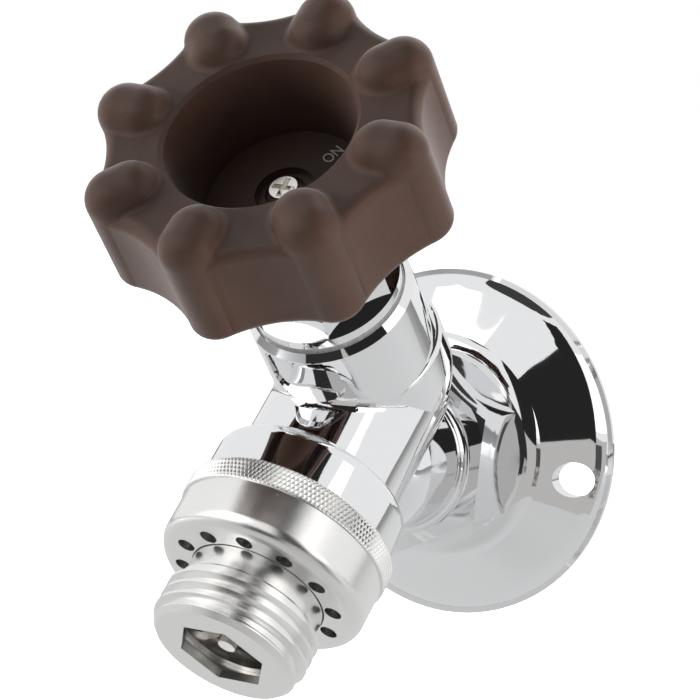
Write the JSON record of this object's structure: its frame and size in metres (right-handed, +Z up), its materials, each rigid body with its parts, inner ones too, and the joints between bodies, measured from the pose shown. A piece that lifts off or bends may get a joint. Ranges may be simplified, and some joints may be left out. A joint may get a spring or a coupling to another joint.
{
  "type": "garden tap",
  "caption": "Wall-flanged garden tap in chrome with a scalloped handwheel and a vacuum breaker that ends in a male hose thread.",
  "frame": {"origin": "middle of the wall flange's back face, on the inlet's axis", "axes": "+Y into the wall along the inlet's axis, +Z up, +X to the right for someone facing the wall"},
  "size_m": [0.0636, 0.1037, 0.1159],
  "materials": {
    "chrome": "bright polished plating",
    "satin_chrome": "plated, soft sheen",
    "bright_steel": "bright",
    "brass": "machined",
    "brown_plastic": "fine matt moulding",
    "disc_plastic": "matt",
    "pale_plastic": "plain",
    "black_rubber": "plain",
    "grey_fibre": "plain"
  },
  "bodies": {
    "tap": {"valve_body": "chrome", "bonnet": "chrome", "bonnet_gasket": "grey_fibre", "packing_washer": "brass", "packing": "black_rubber", "gland_follower": "brass", "packing_nut": "brass", "breaker_body": "chrome", "set_screw": "bright_steel", "breaker_shell": "satin_chrome", "breaker_outlet": "satin_chrome", "hose_gasket": "black_rubber", "diaphragm": "black_rubber", "check_guide": "bright_steel", "check_spring": "bright_steel"},
    "washer": {"seat_washer": "black_rubber"},
    "stem_and_handle": {"stem": "brass", "washer_screw": "bright_steel", "handwheel": "brown_plastic", "index_disc": "disc_plastic", "handle_screw": "bright_steel"},
    "check": {"check_poppet": "pale_plastic"}
  },
  "joints": [
    {"name": "stem_lift", "type": "slide", "parent": "tap", "child": "washer", "axis": [0, -0.7071, 0.7071], "range_m": [0, 0.005]},
    {"name": "handle_turn", "type": "hinge", "parent": "washer", "child": "stem_and_handle", "pos_m": [0, -0.0368, 0.014], "axis": [0, -0.7071, 0.7071], "range_deg": [0, 815]},
    {"name": "check_travel", "type": "slide", "parent": "tap", "child": "check", "axis": [0, -0.7071, -0.7071], "range_m": [0, 0.0015], "stiffness_N_per_m": 300, "springref_m": -0.003, "deforming": ["check_spring"]}
  ],
  "couplings": [
    {"joint": "stem_lift", "follows": "handle_turn", "m_per_rad": 0.00035014}
  ]
}
